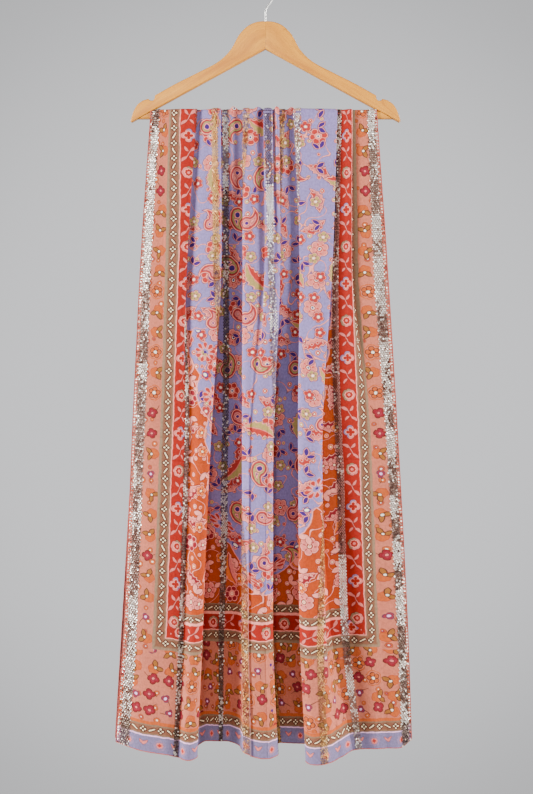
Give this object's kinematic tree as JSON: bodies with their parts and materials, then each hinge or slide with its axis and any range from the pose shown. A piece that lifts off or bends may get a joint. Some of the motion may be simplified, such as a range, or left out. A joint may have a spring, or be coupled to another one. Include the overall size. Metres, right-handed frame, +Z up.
{
  "type": "dupatta stole on a clothes hanger",
  "caption": "Printed dupatta stole with sequin rows, folded once over the bar of a wooden clothes hanger and hanging in soft lengthwise gathers.",
  "frame": {"origin": "inside top of the hanger hook's bow, where it rests on a rail", "axes": "+Z up along the hanging length, -Y towards the front of the stole, +X to the right as seen from the front"},
  "size_m": [0.4866, 0.1185, 1.2921],
  "materials": {
    "hanger_wood": "clear satin varnish on honey-coloured beech",
    "hook_steel": "bright drawn wire",
    "stole_cloth": "fine matt plain weave, printed in lavender, pink, coral, brown and orange",
    "silver_sequin": "silver-coloured foil sequins, glossy",
    "gold_sequin": "gold-coloured foil sequins, glossy",
    "edge_thread": "coral overlocking thread, slight sheen"
  },
  "bodies": {
    "root": {"hanger_arm_left": "hanger_wood", "hanger_arm_right": "hanger_wood", "trouser_bar": "hanger_wood", "hook": "hook_steel", "stole_front": "stole_cloth", "stole_over_bar": "stole_cloth", "stole_back": "stole_cloth"}
  },
  "joints": []
}
